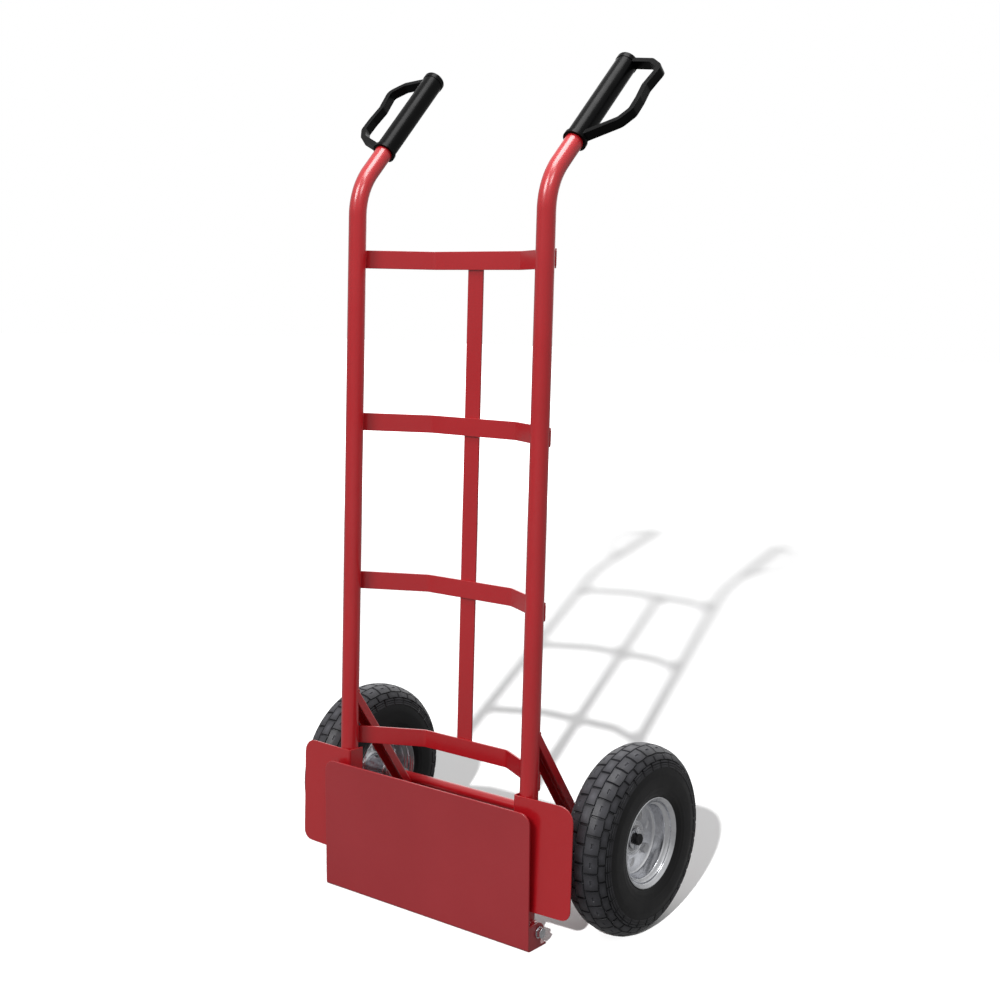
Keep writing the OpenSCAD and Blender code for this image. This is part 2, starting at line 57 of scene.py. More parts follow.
SLOT_OF = {row["node"]: row["material_slot"] for row in frame["record"]["subparts"]}
BODY_OF = {node: body for body, members in frame["record"]["behaviour"]["bodies"].items()
           for node in members}
PIVOT = {joint["name"]: Vector(joint["pos_m"]) for joint in frame["joints"]}
HINGE = PIVOT["toe_plate_fold"]
AXLE = PIVOT["wheel_right_spin"]
TUBE_R = 12.5 * MM          # of the uprights and the hinge tube
UPRIGHT_X = TUBE_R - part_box("upright_left")[1].x    # from the truck's middle to an upright's
SAME_POINT = 0.002 * MM     # corners of a CAD mesh that are nearer than this are one corner


def merged(node):
    """The CAD node's mesh with its faces joined along their edges."""
    bm = bmesh.new()
    bm.from_mesh(NODES[node].data)
    bmesh.ops.remove_doubles(bm, verts=bm.verts, dist=SAME_POINT)
    return bm


def middles(node):
    """The middle of the box of each separate solid in a CAD node."""
    bm = merged(node)
    found, seen = [], set()
    for start in bm.verts:
        if start in seen:
            continue
        seen.add(start)
        stack, group = [start], []
        while stack:
            vert = stack.pop()
            group.append(vert.co.copy())
            for edge in vert.link_edges:
                other = edge.other_vert(vert)
                if other not in seen:
                    seen.add(other)
                    stack.append(other)
        ends = [[pick(co[i] for co in group) for i in range(3)] for pick in (min, max)]
        found.append((Vector(ends[0]) + Vector(ends[1])) / 2)
    bm.free()
    return found


# ---- Materials ----

def srgb(red, green, blue):
    """A colour given as 0-255 display values, as linear light."""
    def linear(value):
        value /= 255
        return value / 12.92 if value <= 0.04045 else ((value + 0.055) / 1.055) ** 2.4
    return (linear(red), linear(green), linear(blue), 1.0)


class Shader:
    """A Principled material with procedural colour, roughness and bump in object space."""

    def __init__(self, name, **values):
        self.material = bpy.data.materials.new(name)
        self.material.use_nodes = True
        self.nodes = self.material.node_tree.nodes
        self.links = self.material.node_tree.links
        self.bsdf = self.nodes["Principled BSDF"]
        self.place = self.nodes.new("ShaderNodeTexCoord").outputs["Object"]
        self.height = None
        for label, value in values.items():
            self.bsdf.inputs[label.replace("_", " ").title().replace("Ior", "IOR")].default_value = value

    def stretched(self, scale):
        mapping = self.nodes.new("ShaderNodeMapping")
        mapping.inputs["Scale"].default_value = scale
        self.links.new(self.place, mapping.inputs["Vector"])
        return mapping.outputs["Vector"]

    def noise(self, scale, detail=3.0, rough=0.5, stretch=None):
        node = self.nodes.new("ShaderNodeTexNoise")
        node.inputs["Scale"].default_value = scale
        node.inputs["Detail"].default_value = detail
        node.inputs["Roughness"].default_value = rough
        self.links.new(self.stretched(stretch) if stretch else self.place, node.inputs["Vector"])
        return node.outputs["Fac"]

    def cells(self, scale):
        """A number of its own for each cell of a crystal-like pattern."""
        node = self.nodes.new("ShaderNodeTexVoronoi")
        node.inputs["Scale"].default_value = scale
        self.links.new(self.place, node.inputs["Vector"])
        split = self.nodes.new("ShaderNodeSeparateColor")
        self.links.new(node.outputs["Color"], split.inputs["Color"])
        return split.outputs["Red"]

    def attribute(self, name):
        node = self.nodes.new("ShaderNodeAttribute")
        node.attribute_name = name
        return node.outputs["Fac"]

    def spread(self, value, low, high, start=0.2, end=0.8):
        """value between start and end, spread from low to high; a noise lies mostly within 0.2 to 0.8."""
        node = self.nodes.new("ShaderNodeMapRange")
        node.clamp = True
        for label, number in (("From Min", start), ("From Max", end), ("To Min", low), ("To Max", high)):
            node.inputs[label].default_value = number
        self.links.new(value, node.inputs["Value"])
        return node.outputs["Result"]

    def maths(self, operation, a, b):
        """a and b are sockets or numbers."""
        node = self.nodes.new("ShaderNodeMath")
        node.operation = operation
        for socket, value in zip(node.inputs, (a, b)):
            if isinstance(value, (int, float)):
                socket.default_value = value
            else:
                self.links.new(value, socket)
        return node.outputs["Value"]

    def mixed(self, fac, first, second):
        """first where fac is 0 and second where it is 1; each is a socket or a colour."""
        node = self.nodes.new("ShaderNodeMix")
        node.data_type = "RGBA"
        # The node has a set of sockets for each kind of data, and these are the colours'.
        fac_in, first_in, second_in = node.inputs[0], node.inputs[6], node.inputs[7]
        self.links.new(fac, fac_in)
        for socket, value in ((first_in, first), (second_in, second)):
            if isinstance(value, tuple):
                socket.default_value = value
            else:
                self.links.new(value, socket)
        return node.outputs[2]

    def colour(self, value):
        self.links.new(value, self.bsdf.inputs["Base Color"])

    def roughness(self, value):
        self.links.new(value, self.bsdf.inputs["Roughness"])

    def bump(self, value, depth, strength):
        """Adds a bump of that depth in metres."""
        node = self.nodes.new("ShaderNodeBump")
        node.inputs["Strength"].default_value = strength
        node.inputs["Distance"].default_value = depth
        self.links.new(value, node.inputs["Height"])
        if self.height:
            self.links.new(self.height, node.inputs["Normal"])
        self.height = node.outputs["Normal"]
        self.links.new(self.height, self.bsdf.inputs["Normal"])


def powder_coat(name, deep, bright, rough, coat):
    """Baked enamel: slow colour drift, a fine fleck, orange peel and a gloss over it."""
    shader = Shader(name, coat_weight=coat, coat_roughness=0.17, ior=1.48)
    drift = shader.spread(shader.noise(5.0), 0.0, 0.8)
    fleck = shader.spread(shader.noise(520.0, detail=2.0), 0.0, 0.2)
    shader.colour(shader.mixed(shader.maths("ADD", drift, fleck), deep, bright))
    shader.roughness(shader.spread(shader.noise(22.0, detail=4.0), rough - 0.05, rough + 0.07))
    shader.bump(shader.noise(480.0, detail=2.0), 0.03 * MM, strength=0.15)
    shader.bump(shader.noise(90.0, detail=1.0), 0.06 * MM, strength=0.2)
    return shader.material


def grip_plastic():
    """Moulded plastic with a soft gloss, a spark-eroded texture and rubbed patches."""
    shader = Shader("grip_plastic", ior=1.45, specular_ior_level=0.12)
    rubbed = shader.spread(shader.noise(30.0, detail=4.0), 0.0, 1.0)
    shader.colour(shader.mixed(rubbed, srgb(2, 2, 2), srgb(6, 6, 7)))
    shader.roughness(shader.spread(shader.noise(60.0, detail=4.0), 0.24, 0.36))
    shader.bump(shader.noise(1300.0), 0.02 * MM, strength=0.5)
    return shader.material


def tyre_rubber():
    """Cured rubber: slightly paler, dusty tread tops, lit by a painted highlight in each block's middle; darker
    grooves; side walls with a fine grain.
    """
    shader = Shader("tyre_rubber", ior=1.5, specular_ior_level=0.32)
    dust = shader.spread(shader.noise(34.0, detail=5.0, rough=0.6), 0.35, 1.0)
    # The tread attribute holds dust on the block tops plus a painted highlight that peaks in each block's middle.
    top = shader.maths("MULTIPLY", shader.attribute("tread"), dust)
    cloud = shader.spread(shader.noise(16.0, detail=4.0), 0.0, 1.0)
    wall = shader.mixed(cloud, srgb(9, 9, 11), srgb(16, 16, 18))
    # srgb(98, 98, 104) is a block's dusty top where its painted highlight peaks.
    shader.colour(shader.mixed(top, wall, srgb(98, 98, 104)))
    shader.roughness(shader.spread(shader.noise(40.0, detail=4.0), 0.34, 0.50))
    shader.bump(shader.noise(900.0), 0.06 * MM, strength=0.6)
    shader.bump(shader.noise(45.0), 0.30 * MM, strength=0.3)
    return shader.material


def tube_rubber():
    """Smooth rubber of the inner tubes and valve stems."""
    shader = Shader("tube_rubber", ior=1.5)
    cloud = shader.spread(shader.noise(60.0), 0.0, 1.0)
    shader.colour(shader.mixed(cloud, srgb(24, 24, 25), srgb(36, 36, 37)))
    shader.roughness(shader.spread(shader.noise(90.0), 0.45, 0.60))
    shader.bump(shader.noise(700.0), 0.05 * MM, strength=0.5)
    return shader.material


def metal(name, dark, light, rough, spangle, grain, stretch=(1.0, 1.0, 1.0)):
    """Bare or plated steel: a faint crystal spangle, drawn grain and uneven polish.

    spangle and grain are the scales of their patterns, and stretch draws the grain out.
    """
    shader = Shader(name, metallic=1.0)
    crystals = shader.maths("MULTIPLY", shader.cells(spangle), 0.25)
    cloud = shader.spread(shader.noise(26.0, detail=5.0, rough=0.6), 0.0, 0.75)
    shader.colour(shader.mixed(shader.maths("ADD", crystals, cloud), dark, light))
    polish = shader.noise(grain, detail=4.0, rough=0.6, stretch=stretch)
    shader.roughness(shader.spread(polish, rough - 0.06, rough + 0.10))
    shader.bump(polish, 0.03 * MM, strength=0.4)
    shader.bump(shader.noise(48.0), 0.22 * MM, strength=0.3)
    return shader.material


MATERIALS = {
    "red_paint": powder_coat("red_paint", srgb(166, 11, 21), srgb(182, 18, 29), 0.34, 0.90),
    "toe_paint": powder_coat("toe_paint", srgb(152, 30, 37), srgb(168, 41, 48), 0.42, 0.60),
    "grip_plastic": grip_plastic(),
    "tyre_rubber": tyre_rubber(),
    "tube_rubber": tube_rubber(),
    "galvanised": metal("galvanised", srgb(200, 201, 205), srgb(246, 247, 250), 0.20, 160.0, 200.0),
    "bright_steel": metal("bright_steel", srgb(150, 151, 154), srgb(205, 205, 206), 0.30, 300.0, 500.0),
    "dark_steel": metal("dark_steel", srgb(34, 34, 36), srgb(62, 61, 62), 0.42, 300.0, 400.0,
                        stretch=(1.0, 6.0, 6.0)),
}

for node, obj in NODES.items():
    obj.data.materials.clear()
    obj.data.materials.append(MATERIALS[SLOT_OF[node]])


# ---- Mesh tools ----

def add_piece(name, bm, slot, body, replaced=(), smooth_angle=35.0, flats=False):
    """Makes bm a piece that rides on body, in that slot's material, and stands for the replaced nodes.

    Edges that turn more than smooth_angle stay sharp, and flats keeps large faces flat beside them.
    """
    bmesh.ops.recalc_face_normals(bm, faces=bm.faces)
    mesh = bpy.data.meshes.new(name)
    bm.to_mesh(mesh)
    bm.free()
    mesh.shade_smooth()
    mesh.set_sharp_from_angle(angle=math.radians(smooth_angle))
    mesh.materials.append(MATERIALS[slot])
    obj = bpy.data.objects.new(name, mesh)
    bpy.context.scene.collection.objects.link(obj)
    if flats:
        normals = obj.modifiers.new("Flat faces stay flat", "WEIGHTED_NORMAL")
        normals.keep_sharp = True
    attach(obj, body)
    if replaced:
        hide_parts(*replaced)


ONE_PLANE = math.radians(0.3)       # faces that turn less than this become one face
SHARP = math.radians(32.0)          # edges that turn more than this are broken
EDGE_SEGMENTS = 2                   # faces across a broken edge


def finished(node, radius):
    """A copy of a CAD node with its sharp edges broken by a small radius, as a press leaves them."""
    bm = merged(node)
    bmesh.ops.dissolve_limit(bm, angle_limit=ONE_PLANE, verts=bm.verts, edges=bm.edges)
    edges = [edge for edge in bm.edges
             if len(edge.link_faces) == 2 and edge.calc_face_angle(0.0) > SHARP]
    bmesh.ops.bevel(bm, geom=edges, offset=radius, segments=EDGE_SEGMENTS, profile=0.5, affect="EDGES",
                    clamp_overlap=True)
    add_piece(f"{node}_finished", bm, SLOT_OF[node], BODY_OF[node], (node,), flats=True)


def lathe(bm, centre, outward, profile, turns, shift):
    """Revolves a closed profile of (radius, station) about an X axis; stations run outward.

    shift says how far a place, given from the axis, moves outward.
    """
    rings = []
    for k in range(turns):
        turn = 2 * math.pi * k / turns
        radial = Vector((0.0, -math.sin(turn), math.cos(turn)))
        ring = []
        for radius, station in profile:
            place = radial * radius
            along = Vector((outward * (station + shift(place)), 0.0, 0.0))
            ring.append(bm.verts.new(centre + place + along))
        rings.append(ring)
    bridge(bm, rings, True)


def bridge(bm, rings, closed):
    """Quads between rings of points, and between the last and the first ring if closed."""
    following = rings[1:] + rings[:1] if closed else rings[1:]
    for here, there in zip(rings, following):
        for i in range(len(here)):
            j = (i + 1) % len(here)
            bm.faces.new((here[i], here[j], there[j], there[i]))


def arc(centre, radius, start, end, steps):
    """Points of an arc in a (radius, station) profile, from start to end in degrees."""
    turns = [math.radians(start + (end - start) * k / steps) for k in range(steps + 1)]
    return [(centre[0] + radius * math.cos(turn), centre[1] + radius * math.sin(turn)) for turn in turns]


def circle(centre, axis, radius, sides, start):
    """Points of a circle about centre, square to axis; start sets where the first one lies."""
    axis = axis.normalized()
    first = axis.cross(start)
    if first.length < 0.1:      # start lies along the axis
        first = axis.cross(Vector((1.0, 0.0, 0.0)))
    first.normalize()
    second = axis.cross(first)
    points = []
    for k in range(sides):
        turn = 2 * math.pi * k / sides
        points.append(centre + (first * math.cos(turn) + second * math.sin(turn)) * radius)
    return points


def sweep(bm, path, radii, sides, start=UP, closed=False):
    """A round bar along a path of points, with its own radius at each."""
    rings = []
    last = len(path) - 1
    for i, place in enumerate(path):
        before = path[i - 1] if i or closed else place
        after = path[(i + 1) % len(path)] if i < last or closed else place
        rings.append([bm.verts.new(co) for co in circle(place, after - before, radii[i], sides, start)])
    bridge(bm, rings, closed)
    if not closed:
        bm.faces.new(rings[0])
        bm.faces.new(rings[-1])


# ---- Uprights ----

BEND_Z = 965 * MM           # height at which the bend starts
BEND_R = 90 * MM            # of the tube's centre line
BEND_ANGLE = math.radians(44)
BEND_STEPS = 28
SPLAY = math.radians(2)     # how far the handles turn outward
HANDLE = 150 * MM           # straight tube above the bend, with the grip on it
TUBE_SIDES = 56


def upright_path(side):
    """Centre line from the hinge up the straight tube, round the bend and into the grip."""
    out = Matrix.Rotation(-SIDES[side] * SPLAY, 3, "Z") @ Vector((0.0, 1.0, 0.0))
    foot = Vector((SIDES[side] * UPRIGHT_X, HINGE.y, HINGE.z))
    at_bend = Vector((foot.x, foot.y, BEND_Z))
    path = [foot, (foot + at_bend) / 2, at_bend]
    for k in range(1, BEND_STEPS + 1):
        turn = BEND_ANGLE * k / BEND_STEPS
        path.append(at_bend + out * BEND_R * (1 - math.cos(turn)) + UP * BEND_R * math.sin(turn))
    along = out * math.sin(BEND_ANGLE) + UP * math.cos(BEND_ANGLE)
    path.append(path[-1] + along * HANDLE)
    return path


def build_upright(side):
    """The whole tube, swept in one piece."""
    bm = bmesh.new()
    path = upright_path(side)
    sweep(bm, path, [TUBE_R] * len(path), TUBE_SIDES, Vector((1.0, 0.0, 0.0)))
    add_piece(f"upright_{side}_bent", bm, "red_paint", "frame", (f"upright_{side}",))


# ---- Axle ----

PAINTED_HALF = 176 * MM     # the frame's paint covers the axle this far out from the middle
CHAMFER = 1 * MM
AXLE_SIDES = 64


def build_axle():
    """A painted middle stretch between two bare, chamfered ends."""
    low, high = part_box("axle")
    radius, end = (high.z - low.z) / 2, high.x
    tip, shoulder, paint = (end, radius - CHAMFER), (end - CHAMFER, radius), (PAINTED_HALF, radius)
    spans = {
        "axle_painted": ("red_paint", [(-PAINTED_HALF, radius), (PAINTED_HALF, radius)]),
        "axle_end_left": ("dark_steel", [(-x, reach) for x, reach in (tip, shoulder, paint)]),
        "axle_end_right": ("dark_steel", [paint, shoulder, tip]),
    }
    for name, (slot, stations) in spans.items():
        bm = bmesh.new()
        path = [Vector((x, AXLE.y, AXLE.z)) for x, reach in stations]
        sweep(bm, path, [reach for x, reach in stations], AXLE_SIDES)
        add_piece(name, bm, slot, BODY_OF["axle"], ("axle",))


# ---- Weld beads ----

CROSSBAR_BEAD_R = 1.7 * MM
CENTRE_BAR_BEAD_R = 1.4 * MM
FOOT_BEAD_R = 1.5 * MM
AXLE_BEAD_R = 1.5 * MM
BRACE_BEAD_R = 1.6 * MM
WING_BEAD_R = 1.6 * MM
BEAD_SIDES = 10
RIPPLE = 2.2 * MM               # length of one ripple
RIPPLE_STEPS = 4                # rings of points in one ripple
SCALLOP = 0.18                  # how much thinner a bead is between its ripples, of its radius
TIP = 0.45                      # radius of a bead's very end, of its own radius
TIP_STEPS = 3                   # rings over which a bead's end grows to the whole radius
# Places of the beads at a crossbar's end: outward and back from the end's outer, front corner
CROSSBAR_BEADS = ((-10.6 * MM, 4.2 * MM), (0.4 * MM, -0.4 * MM))
CROSSBAR_BEAD_OUT = 0.5 * MM    # least distance of a bead's middle from the tube
CROSSBAR_INSET = 2 * MM         # from the strip's edge to the bead's end
CENTRE_BAR_INSET = 3 * MM
FOOT_STEPS = 32
BRACE_BEAD_HALF = 66            # degrees round the tube, each way from its back
BRACE_BEAD_STEPS = 6
BRACE_BEAD_LEVEL = 0.3          # of the tube's radius, how far back it's as high as the brace
BRACE_BEAD_SLOPE = 1.35         # how fast it comes down from there towards the back
WING_BEADS = (0.2, 0.75)        # heights of their lower ends, of the wing's height
WING_BEAD_LENGTH = 22 * MM
WING_BEAD_IN = 0.6 * MM         # from the tube's inner side
WING_BEAD_BACK = 9.0 * MM       # from the tube's middle
AXLE_BEADS = (-0.42, 0.42)      # places across the brace, of its width
AXLE_BEAD_HALF = 2.5 * MM
AXLE_BEAD_FRONT = 6.6 * MM      # in front of the axle's middle
AXLE_BEAD_BELOW = 6.2 * MM      # below the axle's middle


def add_bead(bm, corners, radius, closed=False):
    """A weld bead with its ripples along a path of corners."""
    corners = corners + corners[:1] if closed else corners
    path = []
    for a, b in zip(corners, corners[1:]):
        count = max(2, round((b - a).length * RIPPLE_STEPS / RIPPLE))
        path += [a.lerp(b, k / count) for k in range(count)]
    if not closed:
        path.append(corners[-1])
    run, radii = 0.0, []
    for i, place in enumerate(path):
        run += (place - path[i - 1]).length if i else 0.0
        ripple = 1 - SCALLOP + SCALLOP * abs(math.sin(math.pi * run / RIPPLE))
        to_end = min(i, len(path) - 1 - i)
        tip = 1.0 if closed else min(1.0, TIP + (1 - TIP) * to_end / TIP_STEPS)
        radii.append(radius * ripple * tip)
    sweep(bm, path, radii, BEAD_SIDES, closed=closed)


def upright_bead(bm, x, y, bottom, top, radius):
    """A straight bead along Z."""
    add_bead(bm, [Vector((x, y, bottom)), Vector((x, y, top))], radius)


def crossbar_beads(bm, bar, side):
    """Upright beads where a crossbar's end meets the back of the tube."""
    low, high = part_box(bar)
    end = Vector((SIDES[side] * high.x, low.y, 0.0))
    tube = Vector((SIDES[side] * UPRIGHT_X, HINGE.y, 0.0))
    for outward, back in CROSSBAR_BEADS:
        gap = end + Vector((SIDES[side] * outward, back, 0.0)) - tube
        at = tube + gap.normalized() * max(gap.length, TUBE_R + CROSSBAR_BEAD_OUT)
        upright_bead(bm, at.x, at.y, low.z + CROSSBAR_INSET, high.z - CROSSBAR_INSET, CROSSBAR_BEAD_R)


def centre_bar_beads(bm, bar):
    """Upright beads along the centre bar's two edges, behind a crossbar."""
    low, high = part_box("centre_bar")
    bar_low, bar_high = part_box(bar)
    for x in (low.x, high.x):
        upright_bead(bm, x, low.y, bar_low.z + CENTRE_BAR_INSET, bar_high.z - CENTRE_BAR_INSET,
                     CENTRE_BAR_BEAD_R)


def foot_bead(bm, tube):
    """Round the upright's foot, where it sits on the hinge tube."""
    saddle = []
    for k in range(FOOT_STEPS):
        turn = 2 * math.pi * k / FOOT_STEPS
        across, back = TUBE_R * math.sin(turn), TUBE_R * math.cos(turn)
        saddle.append(tube + Vector((across, back, HINGE.z + abs(across))))
    add_bead(bm, saddle, FOOT_BEAD_R, True)


def brace_bead(bm, tube, top):
    """Round the back of the upright, where the brace's top end meets it."""
    seam = []
    for k in range(-BRACE_BEAD_STEPS, BRACE_BEAD_STEPS + 1):
        turn = math.radians(BRACE_BEAD_HALF * k / BRACE_BEAD_STEPS)
        across, back = TUBE_R * math.sin(turn), TUBE_R * math.cos(turn)
        drop = (back - TUBE_R * BRACE_BEAD_LEVEL) * BRACE_BEAD_SLOPE
        seam.append(tube + Vector((across, back, top - drop)))
    add_bead(bm, seam, BRACE_BEAD_R)


def wing_beads(bm, side):
    """Short upright beads where the wing's flange meets the inner side of the tube."""
    low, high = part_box(f"wing_{side}")
    inner = SIDES[side] * (UPRIGHT_X - TUBE_R - WING_BEAD_IN)
    for part in WING_BEADS:
        bottom = low.z + part * (high.z - low.z)
        upright_bead(bm, inner, HINGE.y + WING_BEAD_BACK, bottom, bottom + WING_BEAD_LENGTH, WING_BEAD_R)


def axle_beads(bm, side):
    """Short beads between the axle and the brace's two flanges."""
    low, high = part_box(f"brace_{side}")
    for part in AXLE_BEADS:
        middle = Vector((SIDES[side] * UPRIGHT_X + part * (high.x - low.x),
                         AXLE.y - AXLE_BEAD_FRONT, AXLE.z - AXLE_BEAD_BELOW))
        half = Vector((AXLE_BEAD_HALF, 0.0, 0.0))
        add_bead(bm, [middle - half, middle + half], AXLE_BEAD_R)


def build_welds():
    """All the beads, as one piece."""
    bm = bmesh.new()
    for row in ROWS:
        for side in SIDES:
            crossbar_beads(bm, f"crossbar_{row}", side)
    for row in ROWS:
        centre_bar_beads(bm, f"crossbar_{row}")
    for side, sign in SIDES.items():
        tube = Vector((sign * UPRIGHT_X, HINGE.y, 0.0))
        foot_bead(bm, tube)
        brace_bead(bm, tube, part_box(f"brace_{side}")[1].z)
        wing_beads(bm, side)
        axle_beads(bm, side)
    add_piece("weld_beads", bm, "red_paint", "frame", smooth_angle=60.0)


# ---- Tyres ----

TYRE_LOW, TYRE_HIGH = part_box("tyre_right")
TYRE_R = (TYRE_HIGH.z - TYRE_LOW.z) / 2
TYRE_HALF = (TYRE_HIGH.x - TYRE_LOW.x) / 2
OVER = 36 * MM              # from the widest point up to the crown
UNDER = 40 * MM             # from the widest point down, where the lower curve would end
WIDEST_R = TYRE_R - OVER
CROWN_POWER = 2.4           # squareness of the curve above the widest point
BEAD_POWER = 3.2            # and below it
SECTION_STEP = 0.5          # degrees between the points of that curve
SECTION_STEPS = 280
WALL_END_R = 63.5 * MM      # where the side wall ends and the bead starts
WALL_STEP = 1.7 * MM        # between points down the side wall
THICK = 5.5 * MM            # of the side wall
INNER_OVER = 28 * MM        # as OVER and UNDER, of the inner face
INNER_UNDER = 38 * MM
INNER_TURNS = range(-50, 91, 10)
ROUNDING = 1e-8             # lengths that differ by less are the same

# Section of the bead as (radius, width), from the wall to the seat and round its toe
BEAD = [(62.6 * MM, 29.6 * MM), (60.2 * MM, 27.8 * MM), (57.6 * MM, 24.4 * MM), (55.0 * MM, 21.6 * MM),
        (52.6 * MM, 20.0 * MM), (52.4 * MM, 15.0 * MM)]

# Rings moulded on the side wall: radius and half width
RIDGES = ((70 * MM, 1.6 * MM), (77 * MM, 1.2 * MM), (108 * MM, 1.6 * MM))
RIDGE_H = 0.5 * MM

PITCHES = 32                # tread blocks in one turn
TREAD_PITCH = 2 * math.pi * TYRE_R / PITCHES
TREAD_DEPTH = 2.8 * MM
TREAD_END = 50.6 * MM       # where the tread has run out, measured from the middle of the crown
FADE = 9 * MM               # half the length over which its depth runs out
GROOVE = 2.2 * MM           # width of a groove across the tread
CHANNEL = 0.35              # height of the floor of a groove around the tyre, of the tread's depth
SLOPE = 0.80 * MM           # width of a block's side wall
ZIGZAG = 0.5 * MM           # how far the grooves around the tyre swing from side to side
GROOVE_DUST = 0.42          # paleness of a groove, where the middle of a block, with its painted highlight, has 1
EDGE_HIGHLIGHT = 0.3             # share of a block's painted highlight that is left at its sides
SHOULDER_SHADE = 0.7        # how much darker the outermost rib is than the crown

# Columns on one half, from the middle of the crown outward; height is of the tread's depth, and a
# shifted column is half a pitch ahead of the others
Column = namedtuple("Column", "start end shifted height")
BLOCKS = (Column(0.0, 6.4 * MM, False, 1.0),
          Column(8.4 * MM, 27.0 * MM, True, 1.0),
          Column(29.2 * MM, 37.6 * MM, False, 1.0))
RIBS = (Column(39.3 * MM, 41.4 * MM, True, 0.8),
        Column(43.0 * MM, 45.1 * MM, True, 0.7),
        Column(46.7 * MM, 48.8 * MM, True, 0.6))
COLUMNS = BLOCKS + RIBS
SIPE = (17.0 * MM, 18.4 * MM)       # across, of the short slot in the widest blocks
SIPE_TURN = (0.38, 0.62)            # along, of the pitch
SIPE_FLOOR = 0.5                    # height, of the tread's depth


def superellipse(turn, half, over, under):
    """(radius, half width) of a tyre-like section; 90 degrees is the crown, 0 the widest point."""
    s, c = math.sin(math.radians(turn)), math.cos(math.radians(turn))
    power, span = (CROWN_POWER, over) if s >= 0 else (BEAD_POWER, under)
    return WIDEST_R + math.copysign(span * abs(s) ** (2 / power), s), half * max(c, 0.0) ** (2 / power)


def lengths_along(points):
    """Length from the first of some points to each of them."""
    lengths = [0.0]
    for a, b in zip(points, points[1:]):
        lengths.append(lengths[-1] + math.dist(a, b))
    return lengths


def outline_at(points, marks):
    """Place and outward normal on a polyline of (radius, width) at those lengths from its start."""
    lengths = lengths_along(points)
    found = []
    for mark in marks:
        i = max(k for k in range(len(points) - 1) if lengths[k] <= mark + ROUNDING)
        a, b = points[i], points[i + 1]
        t = (mark - lengths[i]) / (lengths[i + 1] - lengths[i])
        run, drop = (b[1] - a[1]) / math.dist(a, b), (a[0] - b[0]) / math.dist(a, b)
        found.append((a[0] + t * (b[0] - a[0]), a[1] + t * (b[1] - a[1]), run, drop))
    return found


def in_span(value, span):
    return span[0] - ROUNDING <= value <= span[1] + ROUNDING


def block_at(across, around):
    """Column of blocks at that place and the place along its block, or None between the columns."""
    for column in COLUMNS:
        if in_span(across, (column.start, column.end)):
            return column, (around + (TREAD_PITCH / 2 if column.shifted else 0.0)) % TREAD_PITCH
    return None


def block_height(across, around):
    """1 on top of a block and 0 in a groove, at a place across the tread and around a pitch."""
    found = block_at(across, around)
    if not found:
        return CHANNEL if across < RIBS[-1].start else 0.0
    column, along = found
    gap = GROOVE / 2 + SLOPE
    if not in_span(along, (gap, TREAD_PITCH - gap)):
        return 0.0
    slot = [part * TREAD_PITCH for part in SIPE_TURN]
    return SIPE_FLOOR if in_span(across, SIPE) and in_span(along, slot) else column.height


def dust_and_highlight(across, around):
    """Dust on the rubber and a painted highlight: most in the middle of a block on the crown, least in the
    grooves.
    """
    shade = 1 - SHOULDER_SHADE * across / TREAD_END
    found = block_at(across, around)
    if not found or not block_height(across, around):
        return shade * GROOVE_DUST
    column, along = found
    start = column.start or -column.end     # the crown's column lies on both halves
    # A painted highlight on top of the dust, brightest in the middle of each block, lengthways and sideways.
    highlight_lengthways = 1 - abs(2 * along / TREAD_PITCH - 1)
    highlight_sideways = 1 - abs(2 * (across - start) / (column.end - start) - 1)
    top = highlight_lengthways * (EDGE_HIGHLIGHT + (1 - EDGE_HIGHLIGHT) * highlight_sideways)
    return shade * (GROOVE_DUST + (1 - GROOVE_DUST) * top)


def tread_marks():
    """Lengths across one half at which the tread has points."""
    marks = {0.0, TREAD_END, SIPE[0] - SLOPE, SIPE[0], SIPE[1], SIPE[1] + SLOPE}
    for column in COLUMNS:
        marks |= {column.start, (column.start + column.end) / 2, column.end, column.end + SLOPE}
        if column.start:
            marks.add(column.start - SLOPE)
    return sorted(marks)


def turn_marks():
    """Lengths around one pitch at which the tread has points."""
    marks = set()
    for groove in (0.0, TREAD_PITCH / 2):
        for edge in (GROOVE / 2, GROOVE / 2 + SLOPE):
            marks |= {(groove - edge) % TREAD_PITCH, (groove + edge) % TREAD_PITCH}
        for part in SIPE_TURN:
            place = groove + part * TREAD_PITCH
            marks |= {place % TREAD_PITCH, (place + math.copysign(SLOPE, part - 0.5)) % TREAD_PITCH}
    return sorted(marks)


def swung(across, around):
    """The length across after the zigzag, which fades out at the crown and at the shoulder's ribs."""
    swing = 4 * abs(around / TREAD_PITCH - 0.5) - 1
    fade_in = across / BLOCKS[1].start
    fade_out = max(0.0, (RIBS[0].start - across) / (RIBS[0].start - BLOCKS[-1].end))
    return across + ZIGZAG * swing * min(1.0, fade_in, fade_out)


def tread_point(place, around, point):
    """(radius, width, dust and painted highlight) of a point of the outline, cut down where the tread has a
    groove.
    """
    radius, width, run, drop = point
    fade = min(1.0, max(0.0, (TREAD_END + FADE - place) / (2 * FADE)))
    on_tread = place < TREAD_END
    height = block_height(place, around) if on_tread else 0.0
    depth = TREAD_DEPTH * (1 - height) * fade
    ridge = 0.0
    if place > TREAD_END:
        ridge = sum(RIDGE_H * max(0.0, 1 - abs(radius - at) / reach) for at, reach in RIDGES)
    dust_plus_highlight = dust_and_highlight(place, around) if on_tread else 0.0
    return radius - run * depth, min(width - drop * depth + ridge, TYRE_HALF), dust_plus_highlight


